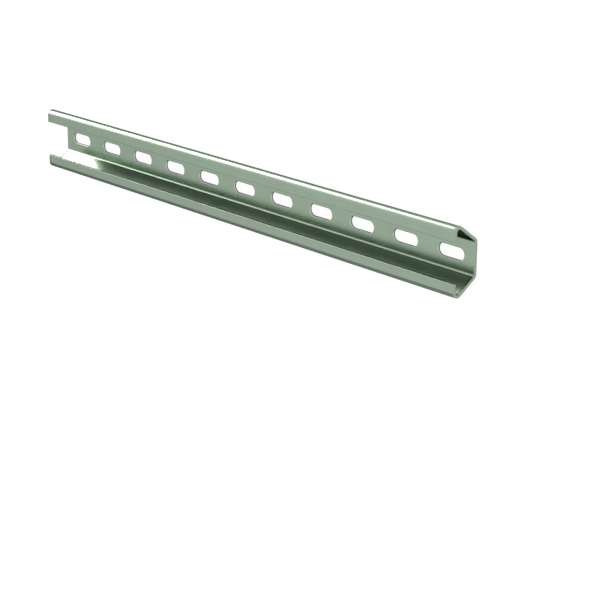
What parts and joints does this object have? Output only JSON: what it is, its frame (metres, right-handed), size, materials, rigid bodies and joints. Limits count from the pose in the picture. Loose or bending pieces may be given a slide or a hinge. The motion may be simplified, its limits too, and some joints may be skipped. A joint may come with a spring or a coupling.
{
  "type": "din rail",
  "caption": "Slotted C-section mounting rail of zinc-plated steel strip, with sloping flanks and in-turned lips.",
  "frame": {"origin": "middle of the rail's length and width, on the back of its floor", "axes": "+X along the rail, +Y across it, +Z from the back of the floor out through the mouth"},
  "size_m": [0.352, 0.035, 0.015],
  "materials": {
    "zinc_plated_steel": "satin zinc plating with a pale green-grey passivation"
  },
  "bodies": {
    "root": {"rail": "zinc_plated_steel"}
  },
  "joints": []
}
